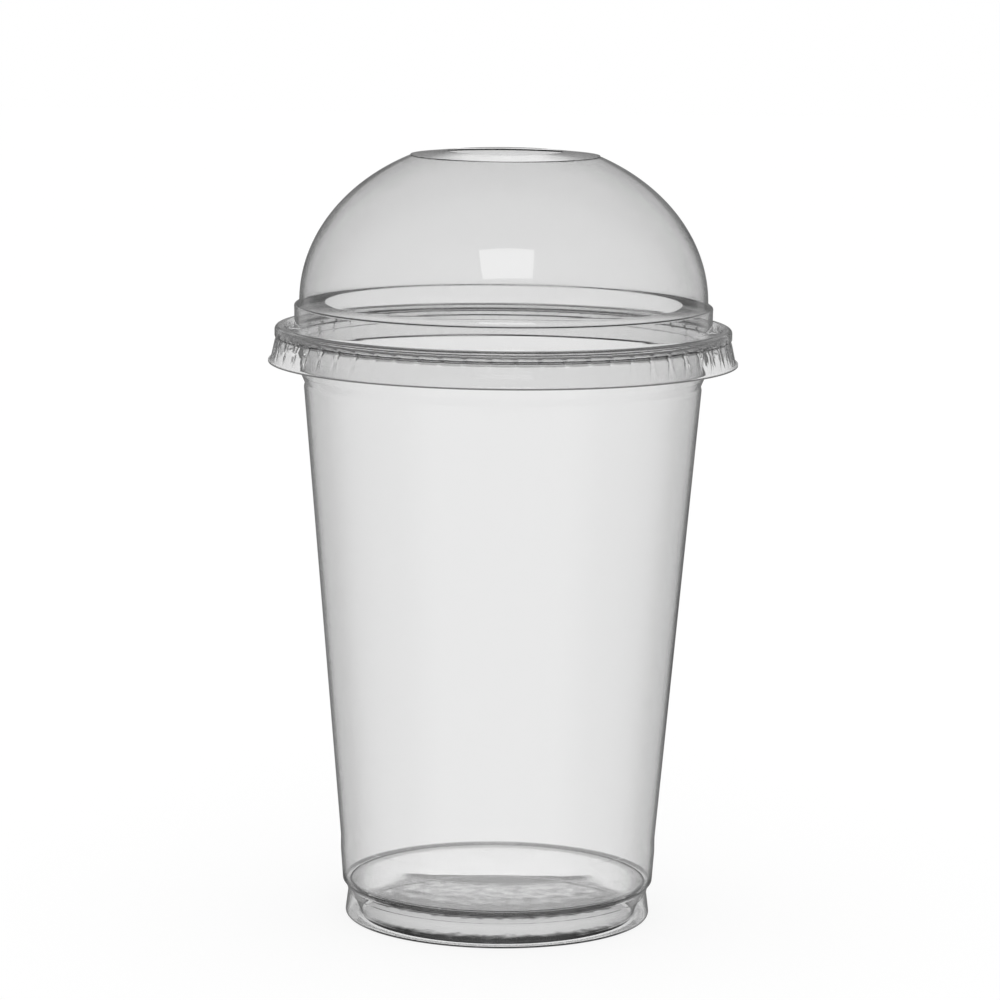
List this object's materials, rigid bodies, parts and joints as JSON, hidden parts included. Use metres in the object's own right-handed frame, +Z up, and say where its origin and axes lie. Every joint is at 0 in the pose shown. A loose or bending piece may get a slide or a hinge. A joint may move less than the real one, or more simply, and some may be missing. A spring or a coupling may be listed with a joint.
{
  "type": "plastic cup with dome lid",
  "caption": "Clear disposable cold-drink cup: tapered body with a rolled rim and recessed base, closed by a lift-off dome lid with a straw hole.",
  "frame": {"origin": "centre of the foot ring's underside, where the cup stands", "axes": "+Z up along the turning axis of cup and lid; X and Y are alike, with a boundary between two snap dents at each"},
  "size_m": [0.1046, 0.1046, 0.1724],
  "materials": {
    "cup_sheet": "clear glossy formed sheet, stippled under the base",
    "lid_sheet": "clear glossy formed sheet"
  },
  "bodies": {
    "cup": {"cup": "cup_sheet"},
    "lid": {"dome_lid": "lid_sheet"}
  },
  "joints": [
    {"name": "lid_lift", "type": "slide", "parent": "cup", "child": "lid", "axis": [0, 0, 1], "range_m": [0, 0.03]}
  ]
}
